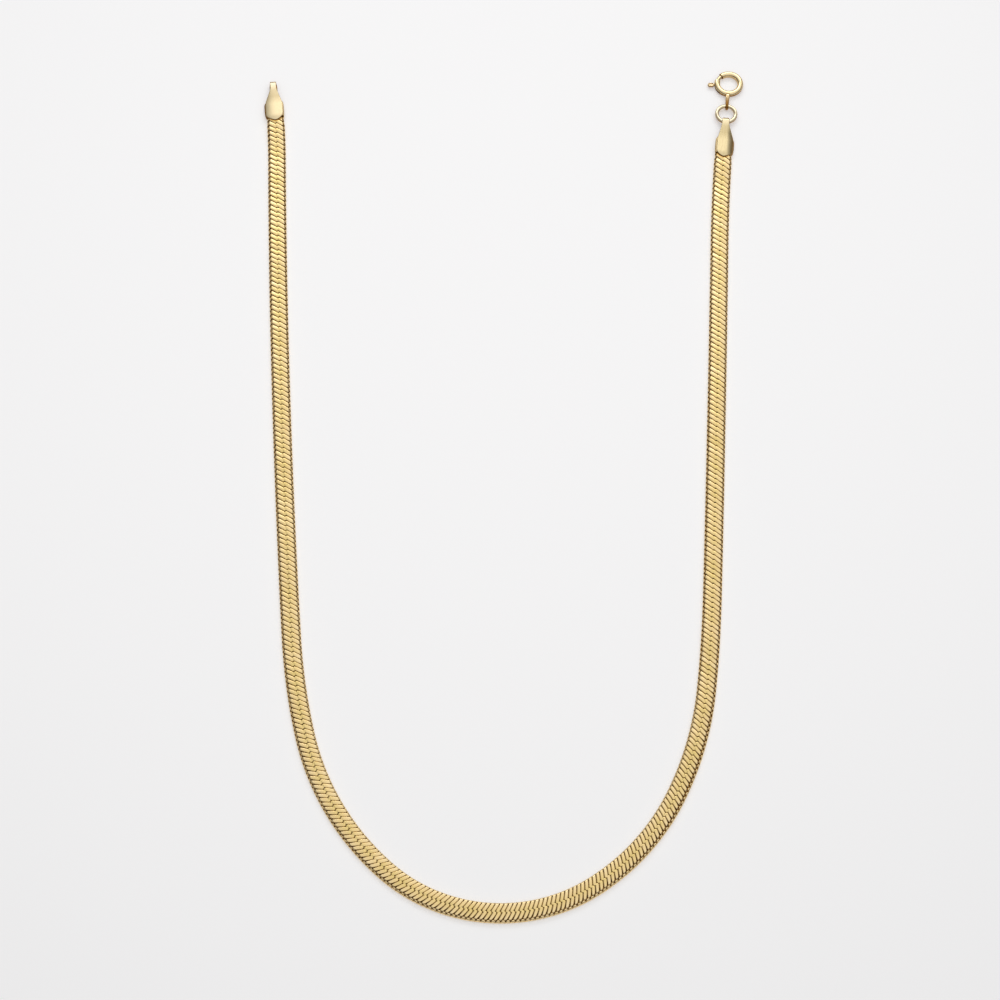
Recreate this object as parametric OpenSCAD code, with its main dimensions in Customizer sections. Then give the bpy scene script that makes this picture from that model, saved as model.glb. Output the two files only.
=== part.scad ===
// Flat woven herringbone chain necklace, 45 cm long, lying open in a U on a flat surface.
// All sizes are in millimetres. +X is to the right, +Y runs up the arms to the clasp, +Z is up.
// The origin is the middle of the necklace's outline, at the level of the surface.

/* [Chain] */
// Width across the flat chain
chain_width = 4; // [3.6:0.1:4.4]
// Thickness of the chain at its middle
chain_thick = 1.1; // [1:0.05:1.3]
// How much the top is higher in the middle than at its shoulders
chain_crown = 0.12; // [0.05:0.01:0.2]
// Rounding of the chain's long edges
chain_edge = 0.4; // [0.2:0.05:0.42]

/* [End caps] */
// Thickness of the sheet that the caps are stamped from
sheet = 0.3; // [0.2:0.05:0.4]
// Full length of a cap, from its round lip to the end of its loop
cap_length = 11; // [10.5:0.1:12]
// Distance that the chain goes into a cap
cap_hold = 4; // [3:0.25:4.25]
// Width of the loop's strip at its end
tongue_width = 1.4; // [1.2:0.05:1.6]

/* [Jump ring] */
// Outer diameter of the jump ring
jump_outer = 5.2; // [4.8:0.1:5.6]
// Thickness of its wire
jump_wire = 0.8; // [0.7:0.05:0.85]

/* [Spring ring clasp] */
// Outer diameter of the round clasp
clasp_outer = 6.7; // [6:0.1:7.5]
// Outer diameter of the hollow tube that the clasp is bent from
clasp_tube = 1.25; // [1.2:0.05:1.3]
// Thickness of the sliding bolt's wire
bolt_wire = 0.8; // [0.7:0.01:0.85]
// Half the width of the oval thumb piece on the bolt
thumb_radius = 0.5; // [0.4:0.05:0.65]

/* [Hidden] */

gold = [0.86, 0.72, 0.42];
pale_gold = [0.93, 0.84, 0.6];

// Centreline of the chain, from its left end round the bottom of the U to its right end.
// Each row is one smooth stretch: its length, and how many degrees it turns to the left.
start_heading = -84.5;
route = [
    [15.5, -3.25],
    [120.5, 2.5],
    [23, 8.75],
    [34.5, 33.75],
    [47, 76],
    [26, 30.25],
    [25.5, 19.5],
    [22, 3.75],
    [87.5, 0.5],
    [28.5, -2.75],
];
last_row = len(route) - 1;
turn_step = 5;
long_step = 12;
end_step = 1.6;

// The chain climbs a little near its ends, onto the back plates of the caps.
fit_gap = 0.05;
end_lift = sheet + fit_gap;
lift_length = 8;

half_width = chain_width / 2;
cap_height = 2 * sheet + chain_thick + 2 * fit_gap;
cavity_width = chain_width + 2 * fit_gap;
wall = 0.2;
cap_half = cavity_width / 2 + wall;
plate_half = cap_half - 0.35;
plate_step = 0.12;
tongue_half = tongue_width / 2;
lip_depth = 1.6;
body_start = 0.9;
body_full = 2.4;
body_shoulder = 4.2;
body_end = 5;
body_inset = 0.08;
tongue_spread = 0.1;
tongue_root = 0.5;
flare_start = 3.6;
flare_end = 8.5;
outline_step = 1 / 8;

jump_radius = (jump_outer - jump_wire) / 2;
jump_slack = 0.3;
jump_rest = 0.15;

tube_radius = clasp_tube / 2;
clasp_radius = (clasp_outer - clasp_tube) / 2;
bore_gap = 0.07;
bore_radius = bolt_wire / 2 + bore_gap;
gap_from = 135;
gap_to = 169;
thumb_angle = 189;
thumb_travel = 40;
stem_width = 0.44;
stem_angle = 5;
stem_root = 0.3;
slot_spare = 2;
slot_gap = 0.05;
slot_half = stem_width / 2 + slot_gap;
tip_angle = 130;
bolt_end = 252;
thumb_length = 1.55;
thumb_thick = 0.5;
thumb_gap = 0.08;
rim = 0.13;
dimple = 0.12;

eye_strap = 0.4;
eye_width = 0.8;
eye_inside = 0.5;
eye_radius = eye_inside + eye_strap / 2;
eye_rise = eye_radius + eye_strap / 2 - tube_radius;
eye_straight = 2.7;
eye_seat = 0.45;
eye_middle = clasp_outer / 2 - eye_seat + eye_straight / 2 + eye_radius + eye_strap / 2;
eye_hook = eye_middle + eye_straight / 2;
eye_slack = 0.02;

function total(rows, count, column, i = 0) =
    i >= count ? 0 : rows[i][column] + total(rows, count, column, i + 1);
function heading(i) = start_heading + total(route, i, 1);
function along(p, direction, length, turn) =
    turn == 0
        ? p + length * [cos(direction), sin(direction)]
        : let (r = length * 180 / (PI * turn))
          p + r * [sin(direction + turn) - sin(direction), cos(direction) - cos(direction + turn)];
function row_start(i) =
    i == 0 ? [0, 0] : along(row_start(i - 1), heading(i - 1), route[i - 1][0], route[i - 1][1]);
function row_steps(i) =
    let (longest = i == 0 || i == last_row ? end_step : long_step)
    max(ceil(abs(route[i][1]) / turn_step), ceil(route[i][0] / longest));

// Stations along the chain: x, y, direction and the distance from the left end.
chain_length = total(route, len(route), 0);
end_heading = heading(last_row) + route[last_row][1];
chain_end = along(row_start(last_row), heading(last_row), route[last_row][0], route[last_row][1]);
stations = [
    for (i = [0 : last_row])
        let (n = row_steps(i), p = row_start(i), h = heading(i), s = total(route, i, 0))
            for (k = [0 : n - (i == last_row ? 0 : 1)])
                let (q = k / n, xy = along(p, h, route[i][0] * q, route[i][1] * q))
                    [xy[0], xy[1], h + route[i][1] * q, s + route[i][0] * q],
];
function lift(s) =
    let (
        from_end = min(s, chain_length - s) - cap_hold,
        q = max(0, min(1, 1 - from_end / lift_length))
    )
    end_lift * (1 - cos(180 * q)) / 2;

// Outline across the chain, flat below and slightly crowned above.
function corner(x, z, from) =
    [for (a = [from, from + 45, from + 90]) [x + chain_edge * cos(a), z + chain_edge * sin(a)]];
shoulder = chain_thick - chain_crown - chain_edge;
section = concat(
    corner(-half_width + chain_edge, chain_edge, 180),
    corner(half_width - chain_edge, chain_edge, 270),
    corner(half_width - chain_edge, shoulder, 0),
    [[0, chain_thick]],
    corner(-half_width + chain_edge, shoulder, 90)
);

// Outline of a cap's front plate, from the round lip to the end of the tongue.
function flare(y) =
    let (
        q = max(0, min(1, (y - flare_start) / (flare_end - flare_start))),
        narrow = tongue_half + tongue_spread
    )
    narrow + (plate_half - narrow) * (1 + cos(180 * q)) / 2;
lip = [for (a = [180 : 15 : 360]) [plate_half * cos(a), lip_depth * (1 + sin(a))]];
flank = [
    for (q = [0 : outline_step : 1])
        let (y = flare_start + (flare_end - flare_start) * q) [flare(y), y],
];
function mirrored(points) = [for (i = [len(points) - 1 : -1 : 0]) [-points[i][0], points[i][1]]];
plate_outline = concat(
    lip, flank, [[tongue_half, cap_length], [-tongue_half, cap_length]], mirrored(flank)
);
body_outline =
    let (
        half = [
            [cap_half - body_inset, body_start],
            [cap_half, body_full],
            [cap_half, body_shoulder],
            [flare(body_end), body_end],
        ]
    )
    concat(half, mirrored(half));

// Places of the caps, the jump ring and the clasp, before the whole is centred on the origin.
left_cap = [0, 0, start_heading + 180];
right_cap = [chain_end[0], chain_end[1], end_heading];
function beyond(place, distance) = [place[0], place[1]] + distance * [cos(place[2]), sin(place[2])];
loop_end = cap_length - cap_hold;
jump_height = sheet + fit_gap + jump_wire / 2 + jump_rest;
jump_middle = beyond(right_cap, loop_end - sheet - jump_wire / 2 - jump_slack + jump_radius);
clasp_heading = 84;
clasp_height = tube_radius;
hook_height = clasp_height + eye_rise + eye_slack;
jump_tilt = asin((hook_height - jump_height) / (2 * jump_radius));
jump_far = beyond([jump_middle[0], jump_middle[1], clasp_heading], jump_radius * cos(jump_tilt));
clasp_middle = beyond([jump_far[0], jump_far[1], clasp_heading], eye_hook);

function turned(p, a) = [p[0] * cos(a) - p[1] * sin(a), p[0] * sin(a) + p[1] * cos(a)];
left_edge = min([for (p = body_outline) turned([p[0], p[1] - cap_hold], left_cap[2] - 90)[0]]);
right_edge = clasp_middle[0] + clasp_outer / 2;
front_edge = min([for (p = stations) p[1]]) - half_width;
back_edge = clasp_middle[1] + clasp_outer / 2;
centre = [-(left_edge + right_edge) / 2, -(front_edge + back_edge) / 2, 0];

module chain() {
    sides = len(section);
    rings = len(stations);
    points = [
        for (p = stations)
            let (z = lift(p[3]), normal = [-sin(p[2]), cos(p[2])])
                for (q = section)
                    [p[0] + q[0] * normal[0], p[1] + q[0] * normal[1], q[1] + z],
    ];
    faces = concat(
        [[for (j = [0 : sides - 1]) j]],
        [[for (j = [sides - 1 : -1 : 0]) (rings - 1) * sides + j]],
        [
            for (i = [0 : rings - 2])
                for (j = [0 : sides - 1])
                    let (
                        a = i * sides + j,
                        b = i * sides + (j + 1) % sides,
                        c = a + sides,
                        d = b + sides
                    )
                        for (f = [[a, c, b], [b, c, d]])
                            f,
        ]
    );
    color(gold) translate(centre) polyhedron(points = points, faces = faces, convexity = 8);
}

// Side view of the folded strip: y along the cap, z up.
module loop_side(inset) {
    reach = cap_height / 2 - inset;
    translate([cap_length - cap_height / 2, cap_height / 2]) circle(r = reach, $fn = 64);
    translate([body_end - 1, inset]) square([cap_length - cap_height / 2 - body_end + 1, 2 * reach]);
}

module strip() {
    rotate([90, 0, 90])
        translate([0, 0, -cap_half])
            linear_extrude(2 * cap_half)
                difference() {
                    loop_side(0);
                    loop_side(sheet);
                }
}

// A stamped cap: front plate with a round lip, box that holds the chain, and a strip folded into a loop.
// y = 0 is the lowest point of the lip, and the chain comes in from below it.
module cap() {
    difference() {
        union() {
            linear_extrude(cap_height - plate_step) polygon(body_outline);
            translate([0, 0, cap_height - sheet]) linear_extrude(sheet) polygon(plate_outline);
        }
        translate([-cavity_width / 2, -1, sheet])
            cube([cavity_width, cap_hold + fit_gap + 1, cap_height - 2 * sheet]);
        translate([-cap_half, cap_length - cap_height / 2, 0])
            cube([2 * cap_half, cap_height, 2 * cap_height]);
    }
    intersection() {
        strip();
        union() {
            translate([0, 0, cap_height / 2]) linear_extrude(cap_height) polygon(plate_outline);
            translate([-tongue_half, body_end - tongue_root, -1])
                cube([2 * tongue_half, cap_length, 1 + cap_height / 2]);
        }
    }
}

module placed(place) {
    translate(centre + [place[0], place[1], 0])
        rotate(place[2] - 90)
            translate([0, -cap_hold, 0])
                children();
}

module end_cap_left() {
    color(pale_gold) placed(left_cap) cap();
}

module end_cap_right() {
    color(pale_gold) placed(right_cap) cap();
}

module jump_ring() {
    color(gold)
        translate(centre + [jump_middle[0], jump_middle[1], (jump_height + hook_height) / 2])
            rotate(clasp_heading - 90)
                rotate([jump_tilt, 0, 0])
                    rotate_extrude($fn = 96)
                        translate([jump_radius, 0]) circle(d = jump_wire, $fn = 48);
}

// Moves the clasp from its own frame, ring around the origin and eye towards -y, to its place.
module clasp_place() {
    translate(centre + [clasp_middle[0], clasp_middle[1], clasp_height])
        rotate(clasp_heading - 90)
            children();
}

module arc_of(from, to, radius) {
    rotate(from)
        rotate_extrude(angle = to - from, $fn = 96)
            translate([clasp_radius, 0]) circle(r = radius, $fn = 48);
}

// Strap bent into a long upright eye, soldered to the outside of the tube.
module eye() {
    translate([-eye_width / 2, -eye_middle, eye_rise])
        rotate([90, 0, 90])
            linear_extrude(eye_width)
                difference() {
                    eye_side(eye_radius + eye_strap / 2);
                    eye_side(eye_radius - eye_strap / 2);
                }
}

module eye_side(r) {
    translate([-eye_straight / 2, 0]) circle(r = r, $fn = 64);
    translate([eye_straight / 2, 0]) circle(r = r, $fn = 64);
    translate([-eye_straight / 2, -r]) square([eye_straight, 2 * r]);
}

module spring_ring() {
    color(gold)
        clasp_place()
            difference() {
                union() {
                    arc_of(gap_to, gap_from + 360, tube_radius);
                    eye();
                }
                arc_of(gap_to - slot_spare, gap_from + 360 + slot_spare, bore_radius);
                rotate(thumb_angle - stem_angle - slot_spare)
                    rotate_extrude(angle = 2 * stem_angle + thumb_travel + 2 * slot_spare, $fn = 96)
                        translate([clasp_radius, -slot_half]) square([2 * tube_radius, 2 * slot_half]);
            }
}

module thumb_plate(r) {
    straight = thumb_length - 2 * thumb_radius;
    circle(r = r, $fn = 48);
    translate([-straight, 0]) circle(r = r, $fn = 48);
    translate([-straight, -r]) square([straight, 2 * r]);
}

module bolt() {
    reach = clasp_outer / 2 + thumb_gap + thumb_length - thumb_radius;
    color(pale_gold)
        clasp_place() {
            arc_of(tip_angle, bolt_end, bolt_wire / 2);
            rotate(thumb_angle - stem_angle)
                rotate_extrude(angle = 2 * stem_angle, $fn = 96)
                    translate([clasp_radius, -stem_width / 2])
                        square([tube_radius + stem_root, stem_width]);
            rotate(thumb_angle)
                translate([reach, 0, -thumb_thick / 2])
                    difference() {
                        linear_extrude(thumb_thick) thumb_plate(thumb_radius);
                        translate([0, 0, thumb_thick - dimple])
                            linear_extrude(dimple + 1) thumb_plate(thumb_radius - rim);
                    }
        }
}

chain();
end_cap_left();
end_cap_right();
jump_ring();
spring_ring();
bolt();
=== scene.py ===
"""Flat herringbone chain necklace in yellow gold, lying open in a U on a pale studio surface."""
import math

import bmesh
import bpy
import numpy as np
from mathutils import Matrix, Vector


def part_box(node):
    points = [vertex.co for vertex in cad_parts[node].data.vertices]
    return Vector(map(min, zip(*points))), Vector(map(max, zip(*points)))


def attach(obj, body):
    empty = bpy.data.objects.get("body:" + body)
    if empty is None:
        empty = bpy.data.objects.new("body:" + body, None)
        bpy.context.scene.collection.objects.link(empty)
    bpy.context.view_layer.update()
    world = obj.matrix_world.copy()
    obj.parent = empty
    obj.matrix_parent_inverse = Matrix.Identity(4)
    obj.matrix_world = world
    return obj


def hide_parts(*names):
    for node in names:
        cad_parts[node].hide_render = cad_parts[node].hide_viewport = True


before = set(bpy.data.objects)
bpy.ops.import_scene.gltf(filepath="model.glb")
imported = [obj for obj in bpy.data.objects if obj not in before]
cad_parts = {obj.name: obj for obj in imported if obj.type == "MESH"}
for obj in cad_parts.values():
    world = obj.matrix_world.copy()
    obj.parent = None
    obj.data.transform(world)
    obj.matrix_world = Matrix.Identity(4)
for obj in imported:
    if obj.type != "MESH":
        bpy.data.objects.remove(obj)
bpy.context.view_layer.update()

MM = 0.001
rng = np.random.default_rng(seed=11)

# Course of the chain, the same table as in the part: length in metres and turn to the left in degrees
START_HEADING = -84.5
ROUTE = [
    (15.5 * MM, -3.25),
    (120.5 * MM, 2.5),
    (23 * MM, 8.75),
    (34.5 * MM, 33.75),
    (47 * MM, 76),
    (26 * MM, 30.25),
    (25.5 * MM, 19.5),
    (22 * MM, 3.75),
    (87.5 * MM, 0.5),
    (28.5 * MM, -2.75),
]
# Sizes that the part has too
CHAIN_WIDTH = 4 * MM
CHAIN_THICK = 1.1 * MM
CHAIN_CROWN = 0.12 * MM
SHEET = 0.3 * MM
FIT_GAP = 0.05 * MM
CAP_HOLD = 4 * MM
CAP_LENGTH = 11 * MM
CAP_HEIGHT = 2 * SHEET + CHAIN_THICK + 2 * FIT_GAP
LIFT_LENGTH = 8 * MM

# Camera, at the photograph's angle: 26 degrees off the vertical, from the side of the bend
CAMERA_TILT = math.radians(26)
CAMERA_DISTANCE = 605.6 * MM
CAMERA_NEAR = 10 * MM
LOOK_AT = Vector((-1.086, -8.382, 0.45)) * MM
LENS = 99.2
SENSOR = 36


def add_camera():
    data = bpy.data.cameras.new("camera")
    data.sensor_width = SENSOR
    data.lens = LENS
    data.clip_start = CAMERA_NEAR
    data.dof.use_dof = False
    camera = bpy.data.objects.new("camera", data)
    back = Vector((0, -math.sin(CAMERA_TILT), math.cos(CAMERA_TILT)))
    camera.location = LOOK_AT + CAMERA_DISTANCE * back
    camera.rotation_euler = (CAMERA_TILT, 0, 0)
    bpy.context.scene.collection.objects.link(camera)
    bpy.context.scene.camera = camera


# Softbox above and behind the necklace, aimed at the origin: place and size in metres, power in watts
SOFTBOX_PLACE = Vector((0, 0.62, 0.52))
SOFTBOX_SIZE = (0.7, 0.2)
SOFTBOX_POWER = 0.9


def add_softbox():
    data = bpy.data.lights.new("back", "AREA")
    data.shape = "RECTANGLE"
    data.size, data.size_y = SOFTBOX_SIZE
    data.energy = SOFTBOX_POWER
    light = bpy.data.objects.new("back", data)
    light.location = SOFTBOX_PLACE
    light.rotation_euler = (-SOFTBOX_PLACE).to_track_quat("-Z", "Y").to_euler()
    bpy.context.scene.collection.objects.link(light)


# Where a Mix node has its two colours and the mixed one
MIX_FIRST = 6
MIX_SECOND = 7
MIX_RESULT = 2


def node(tree, kind, **values):
    """A new node with the given input sockets set by name."""
    made = tree.nodes.new(kind)
    for name, value in values.items():
        made.inputs[name.replace("_", " ")].default_value = value
    return made


def new_material(name):
    material = bpy.data.materials.new(name)
    material.use_nodes = True
    tree = material.node_tree
    return material, tree, tree.nodes["Principled BSDF"]


def colour_ramp(tree, source, stops):
    """Colours by a source from 0 to 1; the stops give places and colours, in order."""
    ramp = tree.nodes.new("ShaderNodeValToRGB")
    while len(ramp.color_ramp.elements) < len(stops):
        ramp.color_ramp.elements.new(0.5)
    for element, (place, colour) in zip(ramp.color_ramp.elements, stops):
        element.position = place
        element.color = (*colour, 1)
    tree.links.new(source, ramp.inputs["Fac"])
    return ramp.outputs["Color"]


def noise(tree, coordinates, scale, stretch=(1, 1, 1), detail=3):
    mapping = node(tree, "ShaderNodeMapping", Scale=stretch)
    tree.links.new(coordinates, mapping.inputs["Vector"])
    texture = node(tree, "ShaderNodeTexNoise", Scale=scale, Detail=detail)
    tree.links.new(mapping.outputs["Vector"], texture.inputs["Vector"])
    return texture.outputs["Fac"]


def remap(tree, source, **limits):
    """The source moved from one range to another; a limit that isn't given is 0 or 1."""
    made = node(tree, "ShaderNodeMapRange", **limits)
    tree.links.new(source, made.inputs["Value"])
    return made.outputs["Result"]


def add_bump(tree, shader, height, strength, distance):
    bump = node(tree, "ShaderNodeBump", Strength=strength, Distance=distance)
    tree.links.new(height, bump.inputs["Height"])
    tree.links.new(bump.outputs["Normal"], shader.inputs["Normal"])


def add_roughness(tree, shader, source, low, high):
    tree.links.new(remap(tree, source, To_Min=low, To_Max=high), shader.inputs["Roughness"])


def attribute(tree, name):
    made = tree.nodes.new("ShaderNodeAttribute")
    made.attribute_name = name
    return made.outputs["Fac"]


def colour_mix(tree, blend, first, second, share=None):
    """Two colours, each a tuple or a socket, blended by the share's socket, or wholly where none is given."""
    made = tree.nodes.new("ShaderNodeMix")
    made.data_type = "RGBA"
    made.blend_type = blend
    if share is None:
        made.inputs["Factor"].default_value = 1
    else:
        tree.links.new(share, made.inputs["Factor"])
    for place, colour in ((MIX_FIRST, first), (MIX_SECOND, second)):
        if isinstance(colour, tuple):
            made.inputs[place].default_value = (*colour, 1)
        else:
            tree.links.new(colour, made.inputs[place])
    return made.outputs[MIX_RESULT]


# Brightness of the studio's ceiling by height (0 the horizon, 1 straight above), and how it fades to the
# sides and behind the camera (0 the side of -X or -Y, 1 the side of +X or +Y)
SKY = [(0, 0.05), (0.2, 0.14), (0.5, 0.72), (0.7, 0.8), (0.83, 0.94), (0.9, 0.88), (1, 0.86)]
SIDEWAYS = [
    (0, 0.3), (0.2, 0.36), (0.3, 0.66), (0.42, 0.94), (0.5, 1),
    (0.62, 1), (0.72, 0.92), (0.85, 0.55), (1, 0.35),
]
FRONT_BACK = [(0, 0.5), (0.2, 0.72), (0.35, 0.9), (0.5, 1)]
SKY_WARMTH = (1, 0.99, 0.98)
SKY_STRENGTH = 1.1


def add_world():
    """Soft light from a bright ceiling that fades to a dim horizon, at the sides and behind the camera."""
    world = bpy.data.worlds.new("studio")
    bpy.context.scene.world = world
    world.use_nodes = True
    tree = world.node_tree
    direction = tree.nodes.new("ShaderNodeTexCoord").outputs["Generated"]
    split = tree.nodes.new("ShaderNodeSeparateXYZ")
    tree.links.new(direction, split.inputs["Vector"])
    stops = [(height, tuple(level * share for share in SKY_WARMTH)) for height, level in SKY]
    sky = colour_ramp(tree, split.outputs["Z"], stops)
    for axis, levels in (("X", SIDEWAYS), ("Y", FRONT_BACK)):
        place = remap(tree, split.outputs[axis], From_Min=-1, From_Max=1)
        fade = colour_ramp(tree, place, [(at, (level,) * 3) for at, level in levels])
        sky = colour_mix(tree, "MULTIPLY", sky, fade)
    background = tree.nodes["Background"]
    background.inputs["Strength"].default_value = SKY_STRENGTH
    tree.links.new(sky, background.inputs["Color"])


# Dark brown painted shade, between the links and low on the sides of rings and caps, where shade and dark
# reflections fall
LINK_PAINTED_SHADE = (0.56, 0.3, 0.05)
RING_PAINTED_SHADE = (0.34, 0.158, 0.03)
PAINTED_SHADE_METALLIC = 0.5
EDGE_TINT = (0.95, 0.75, 0.45, 1)


def add_painted_shade(tree, shader, colour, painted_shade):
    """Gold that turns to dull brown painted shade where the mesh's depth attribute is high."""
    depth = attribute(tree, "depth")
    tree.links.new(colour_mix(tree, "MIX", colour, painted_shade, depth), shader.inputs["Base Color"])
    metallic = remap(tree, depth, To_Min=1, To_Max=PAINTED_SHADE_METALLIC)
    tree.links.new(metallic, shader.inputs["Metallic"])
    shader.inputs["Specular Tint"].default_value = EDGE_TINT


# Gold of the links, from the darkest to the palest, and its grain. The scale of a grain is in marks a metre.
LINK_TINTS = [(0, (0.8, 0.61, 0.24)), (0.5, (0.89, 0.68, 0.33)), (1, (0.96, 0.76, 0.43))]
LINK_GRAIN = 2600
LINK_ROUGHNESS = (0.2, 0.34)
LINK_BUMP = (0.25, 0.02 * MM)


def woven_gold():
    """Yellow gold of the links, with a little colour change from link to link and painted shade between them.
    """
    material, tree, shader = new_material("woven_gold")
    coordinates = tree.nodes.new("ShaderNodeTexCoord").outputs["Object"]
    add_painted_shade(tree, shader, colour_ramp(tree, attribute(tree, "tint"), LINK_TINTS), LINK_PAINTED_SHADE)
    grain = noise(tree, coordinates, LINK_GRAIN)
    add_roughness(tree, shader, grain, *LINK_ROUGHNESS)
    add_bump(tree, shader, grain, *LINK_BUMP)
    return material


# Levels of a noise that give the dark and the light tone of a gold
DARK_LEVEL = 0.3
LIGHT_LEVEL = 0.7
# Painted shade and painted highlight on a cap's gold, at distances from its lip in millimetres: duller and
# darker at the neck, paler at the tongue
CAP_SHADE_AND_HIGHLIGHT = [
    (0, (0.95, 0.93, 0.86)),
    (4.5, (0.95, 0.93, 0.86)),
    (6.5, (0.71, 0.68, 0.6)),
    (8.3, (0.74, 0.72, 0.66)),
    (9.6, (0.95, 0.96, 1)),
    (12, (0.95, 0.96, 1)),
]
MARK_DETAIL = 5
CAP_BUMP = (0.2, 0.02 * MM)


def cap_gold(name, stretch, light, dark, roughness):
    """Gold of the stamped caps. Its fine marks run along the cap, as far as stretch draws them out."""
    material, tree, shader = new_material(name)
    coordinates = tree.nodes.new("ShaderNodeTexCoord").outputs["UV"]
    marks = noise(tree, coordinates, 1, stretch, MARK_DETAIL)
    colour = colour_ramp(tree, marks, [(DARK_LEVEL, dark), (LIGHT_LEVEL, light)])
    split = tree.nodes.new("ShaderNodeSeparateXYZ")
    tree.links.new(coordinates, split.inputs["Vector"])
    # The cap's gold is multiplied by painted shade and painted highlight along its length, then darkened by
    # painted shade where depth is high
    longest = CAP_SHADE_AND_HIGHLIGHT[-1][0]
    place = remap(tree, split.outputs["Y"], From_Max=longest)
    shade_and_highlight = colour_ramp(tree, place, [(y / longest, shade_and_highlight) for y, shade_and_highlight in CAP_SHADE_AND_HIGHLIGHT])
    add_painted_shade(tree, shader, colour_mix(tree, "MULTIPLY", colour, shade_and_highlight), RING_PAINTED_SHADE)
    add_roughness(tree, shader, marks, *roughness)
    add_bump(tree, shader, marks, *CAP_BUMP)
    return material


def satin_gold():
    return cap_gold(
        "satin_gold", stretch=(2.5, 1.6, 1), light=(0.84, 0.72, 0.49), dark=(0.8, 0.675, 0.44),
        roughness=(0.26, 0.36),
    )


def brushed_gold():
    return cap_gold(
        "brushed_gold", stretch=(6, 0.25, 1), light=(0.8, 0.69, 0.45), dark=(0.7, 0.575, 0.34),
        roughness=(0.22, 0.36),
    )


WEAR_GRAIN = 900
WEAR_ROUGHNESS = (0.1, 0.19)
WEAR_BUMP = (0.1, 0.03 * MM)


def polished_gold(name, light, dark):
    """Polished gold of the rings and the clasp, with faint wear and painted shade."""
    material, tree, shader = new_material(name)
    coordinates = tree.nodes.new("ShaderNodeTexCoord").outputs["Object"]
    wear = noise(tree, coordinates, WEAR_GRAIN)
    colour = colour_ramp(tree, wear, [(DARK_LEVEL, dark), (LIGHT_LEVEL, light)])
    add_painted_shade(tree, shader, colour, RING_PAINTED_SHADE)
    add_roughness(tree, shader, wear, *WEAR_ROUGHNESS)
    add_bump(tree, shader, wear, *WEAR_BUMP)
    return material


# A pool of light is painted into the surface's colour: strongest near the middle of the picture, falling off
# towards its corners
POOL_CENTRE = (0, 0.055, 0)
POOL_RADIUS = 1.0
POOL_FALL = 2.7
POOL_DARKEST = 0.3
POOL_STEPS = 12
PAPER = (0.93, 0.93, 0.938)
# The surface glows a little: painted light that brightens it and softens the contact shadows on it
PAPER_GLOW = 0.318
GLOW_COLOUR = (1, 1, 1.01, 1)
PAPER_ROUGHNESS = 0.8
PAPER_SPECULAR = 0.1
PAPER_GRAIN = 900
PAPER_BUMP = (0.1, 0.02 * MM)
FLOOR_HALF = 2
FLOOR_LEVEL = -0.01 * MM


def paper():
    """Matt pale surface that the necklace lies on, a little brighter in the middle from a painted pool of
    light, and with a faint painted glow.
    """
    material, tree, shader = new_material("paper")
    coordinates = tree.nodes.new("ShaderNodeTexCoord").outputs["Object"]
    mapping = node(tree, "ShaderNodeMapping", Location=POOL_CENTRE, Scale=(POOL_RADIUS,) * 3)
    mapping.vector_type = "TEXTURE"
    tree.links.new(coordinates, mapping.inputs["Vector"])
    sphere = tree.nodes.new("ShaderNodeTexGradient")
    sphere.gradient_type = "SPHERICAL"
    tree.links.new(mapping.outputs["Vector"], sphere.inputs["Vector"])
    stops = []
    for step in range(POOL_STEPS + 1):
        distance = POOL_RADIUS / 2 * (1 - step / POOL_STEPS)
        share = max(POOL_DARKEST, 1 - POOL_FALL * distance**2)
        stops.append((1 - distance / POOL_RADIUS, tuple(share * value for value in PAPER)))
    tree.links.new(colour_ramp(tree, sphere.outputs["Fac"], stops), shader.inputs["Base Color"])
    shader.inputs["Roughness"].default_value = PAPER_ROUGHNESS
    shader.inputs["Specular IOR Level"].default_value = PAPER_SPECULAR
    shader.inputs["Emission Color"].default_value = GLOW_COLOUR
    shader.inputs["Emission Strength"].default_value = PAPER_GLOW
    add_bump(tree, shader, noise(tree, coordinates, PAPER_GRAIN), *PAPER_BUMP)
    return material


def add_floor():
    far = FLOOR_HALF
    corners = [(-far, -far, 0), (far, -far, 0), (far, far, 0), (-far, far, 0)]
    mesh = bpy.data.meshes.new("floor")
    mesh.from_pydata(corners, [], [(0, 1, 2, 3)])
    mesh.materials.append(paper())
    floor = bpy.data.objects.new("floor", mesh)
    floor.location.z = FLOOR_LEVEL
    bpy.context.scene.collection.objects.link(floor)


def step_along(x, y, heading, length, bend):
    """The point reached from (x, y) after the given length on an arc that turns by bend radians a metre."""
    half = bend * length / 2
    chord = length * np.sinc(half / np.pi)
    return x + chord * np.cos(heading + half), y + chord * np.sin(heading + half)


def row_starts():
    """Place, heading and distance from the left end at the start of each row of the route."""
    x, y, heading, distance = 0.0, 0.0, math.radians(START_HEADING), 0.0
    starts = []
    for length, turn in ROUTE:
        starts.append((x, y, heading, distance))
        x, y = step_along(x, y, heading, length, math.radians(turn) / length)
        heading += math.radians(turn)
        distance += length
    starts.append((x, y, heading, distance))
    return starts


STARTS = row_starts()
CHAIN_LENGTH = STARTS[-1][3]


def route_point(s):
    """Place and heading at distances s from the left end, with that end at the origin."""
    s = np.asarray(s, float)
    ends = np.array([row[3] for row in STARTS[1:-1]])
    row = np.searchsorted(ends, s)
    x, y, heading, distance = np.moveaxis(np.array(STARTS[:-1])[row], -1, 0)
    lengths, turns = np.moveaxis(np.array(ROUTE)[row], -1, 0)
    bend = np.radians(turns) / lengths
    along = s - distance
    return np.stack(step_along(x, y, heading, along, bend), -1), heading + bend * along


def find_shift():
    """From the route's own origin to the frame's: the chain's left end has its lowest x and its highest y."""
    place, heading = route_point(0.0)
    across = np.array([-np.sin(heading), np.cos(heading)]) * CHAIN_WIDTH / 2
    low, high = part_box("chain")
    return np.array([low.x, high.y]) - np.array([place[0] - across[0], place[1] + across[1]])


SHIFT = find_shift()


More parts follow.
